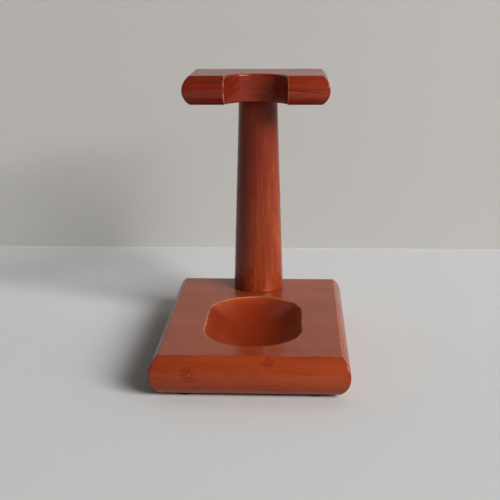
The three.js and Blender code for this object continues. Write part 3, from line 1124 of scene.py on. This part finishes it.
# %% [markdown]
# ## Rubber pads
#
# Four stick-on pads keep the varnish off the table. They are one shape in four places, which is what
# instances are for: the lathe turns one pad, and another tree sets it on the corners of a grid as large as
# the pads' spacing.

# %% Turn one pad and set four
PAD_EASE = 0.4 * MM
PAD_HOLLOW = 0.12 * MM
PAD_CHAMFER = 0.05 * MM


def four_corner_tree():
    w = new_tree("set on four corners", Width="Float", Depth="Float", Finish="Material")
    grid = {"Size X": w.given["Width"], "Size Y": w.given["Depth"], "Vertices X": 2, "Vertices Y": 2}
    corners = w.made("GeometryNodeMeshGrid", grid)["Mesh"]
    placed = {"Points": corners, "Instance": w.given["Geometry"]}
    return end_tree(w, w.made("GeometryNodeInstanceOnPoints", placed)["Instances"])


def pad_profile():
    """A thin disc with its lower rim well rounded and its sole a little hollow, so that it grips."""
    low, high = pad_low.z, pad_high.z
    rim = (pad_radius, low)
    points = [(0, low + PAD_HOLLOW, 0), (pad_radius * 0.5, low + 0.75 * PAD_HOLLOW, 0)]
    points += [(pad_radius * 0.75, low, 0)]
    points += eased(rim, (0, low), (pad_radius, high), PAD_EASE)
    return points + [(pad_radius, high - PAD_CHAMFER, 0), (pad_radius - PAD_CHAMFER, high, 0), (0, high, 0)]


pad_spacing = far_pad_low - pad_low
pads = turn("rubber_pads", pad_profile(), 64, rubber)
run_tree(pads, four_corner_tree(), Width=abs(pad_spacing.x), Depth=abs(pad_spacing.y), Finish=rubber)
close_up(pads)

# %% [markdown]
# ## Telling the frame what stands for what
#
# Nothing on the stand moves, so every piece rides on the one body. Each finished piece stands for its node
# of the imported model, which stays behind for weight and collision.

# %% Ride and replace
pieces = [
    (base_board, "base_wood", ["base_board"]),
    (post, "post_wood", ["post"]),
    (head_plate, "head_wood", ["head_plate"]),
    (dowel, "dowel_beech", ["head_dowel"]),
    (screw, "zinc_steel", ["base_screw"]),
    (washer, "zinc_steel", ["base_screw_washer"]),
    (pads, "foot_rubber", ["foot_front_left", "foot_front_right", "foot_rear_left", "foot_rear_right"]),
]
for piece, slot_name, nodes in pieces:
    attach(piece, BODY)
    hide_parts(*nodes)
    print(f"{piece.name} stands for {', '.join(nodes)}")

# %% [markdown]
# ## Table and wall
#
# The stand is shown on a plain pale table that meets a plain wall behind it, so the varnish has something
# pale to reflect at a shallow angle. The sheet shows only its front: seen from its back it lets everything
# through, so that the wall doesn't hide the stand from behind. It is a trick of the set, and none of the
# stand's own finishes does it.

# %% Set up the table and the wall
TABLE_HALF_WIDTH = 1.6
TABLE_FRONT = -1.6
WALL_PLACE = 0.18
WALL_HEIGHT = 0.9
TABLE_TONE = (0.68, 0.687, 0.694)
WALL_TONE = (0.53, 0.522, 0.506)
PAINT_GREY = (0.29, 0.29, 0.29)


def make_surroundings():
    section = [(TABLE_FRONT, 0), (WALL_PLACE, 0), (WALL_PLACE, WALL_HEIGHT)]
    bm = bmesh.new()
    left = [bm.verts.new((-TABLE_HALF_WIDTH, y, z)) for y, z in section]
    right = [bm.verts.new((TABLE_HALF_WIDTH, y, z)) for y, z in section]
    for i in range(len(section) - 1):
        bm.faces.new((left[i], right[i], right[i + 1], left[i + 1]))
    return new_piece("table_and_wall", bm)


def pale_paint(name):
    """Matt pale paint, a shade greyer on the wall than on the table."""
    material, w, shader = new_finish(name)
    place, _ = grain_place(w, X_AXIS)
    upright = w.between(w.split(place)[2], 0, 0.5)
    clouds = w.noise(place, 160, 120, detail=3, seed=61)
    stipple = w.noise(place, 1.2, 1.2, detail=2, seed=67)
    shade = w.weighted((clouds, 0.6), (stipple, 0.4))
    paint = w.mix(upright, (*TABLE_TONE, 1), (*WALL_TONE, 1))
    paint = w.mix(w.times(shade, 0.08), paint, (*PAINT_GREY, 1))
    w.feed(shader.inputs["Base Color"], paint)
    w.feed(shader.inputs["Roughness"], w.math("MULTIPLY_ADD", stipple, 0.1, 0.8))
    shader.inputs["Specular IOR Level"].default_value = 0.05
    back = w.node("ShaderNodeNewGeometry").outputs["Backfacing"]
    clear = w.node("ShaderNodeBsdfTransparent").outputs["BSDF"]
    either = w.made("ShaderNodeMixShader", {0: back, 1: shader.outputs["BSDF"], 2: clear})[0]
    w.feed(w.tree.nodes["Material Output"].inputs["Surface"], either)
    return material


surroundings = make_surroundings()
surroundings.data.materials.append(pale_paint("pale paint"))

# %% [markdown]
# ## Light
#
# One large soft light stands to the right, in front and above, as a window would. It lights the right of
# the post and the left wall of the dish, and the varnish shows it as one long pale streak. The rest of the
# room is a dim, even grey, with hardly any light from above, so the left sides fall into a warm shadow.
#
# The view's gamma below 1 raises the contrast of the picture. It belongs to the picture only: the finishes
# don't carry it.

# %% Hang the window and dim the room
STAND_MIDDLE = (0, 0, 0.06)
WINDOW_PLACE = (3.22, -2.75, 2.45)
WINDOW_WATTS = 298
CEILING_PLACE = (0.0, -0.2, 2.2)
CEILING_WATTS = 1
ROOM_GREY = (0.80, 0.82, 0.86)
ROOM_STRENGTH = 0.02
VIEW_GAMMA = 0.84
VIEW_EXPOSURE = 0.15


def area_light(name, place, width, height, power, colour):
    data = bpy.data.lights.new(name, "AREA")
    data.shape = "RECTANGLE"
    data.size = width
    data.size_y = height
    data.energy = power
    data.color = colour
    lamp = add_object(name, data)
    lamp.location = place
    lamp.rotation_euler = (Vector(STAND_MIDDLE) - Vector(place)).to_track_quat("-Z", "Y").to_euler()


area_light("window", WINDOW_PLACE, 2.8, 2.0, WINDOW_WATTS, (1.0, 0.99, 0.97))
area_light("ceiling", CEILING_PLACE, 2.4, 2.4, CEILING_WATTS, (0.96, 0.98, 1.0))

room = bpy.data.worlds.new("room")
room.use_nodes = True
background = room.node_tree.nodes["Background"]
background.inputs["Color"].default_value = (*ROOM_GREY, 1)
background.inputs["Strength"].default_value = ROOM_STRENGTH
bpy.context.scene.world = room
view = bpy.context.scene.view_settings
view.view_transform = "Standard"
view.gamma = VIEW_GAMMA
view.exposure = VIEW_EXPOSURE
print("window and room lit")

# %% [markdown]
# ## Camera
#
# The camera stands a little above the head plate and looks down at the base. A long lens keeps the near
# edge of the base only slightly larger than the far one.

# %% Set up the camera
CAMERA_PLACE = (18.4 * MM, -428.7 * MM, 159.6 * MM)
CAMERA_LEFT = 0.0478
CAMERA_DOWN = 0.2580
CAMERA_ROLL = -0.0052
FOCAL_LENGTH = 73.07

camera_data = bpy.data.cameras.new("camera")
camera_data.lens = FOCAL_LENGTH
camera_data.sensor_width = 36
camera_data.clip_start = 0.01
camera_data.dof.use_dof = False
camera = add_object("camera", camera_data)
aim = Matrix.Rotation(CAMERA_LEFT, 4, "Z") @ Matrix.Rotation(math.pi / 2 - CAMERA_DOWN, 4, "X")
aim = aim @ Matrix.Rotation(CAMERA_ROLL, 4, "Z")
camera.matrix_world = Matrix.Translation(CAMERA_PLACE) @ aim
bpy.context.scene.camera = camera
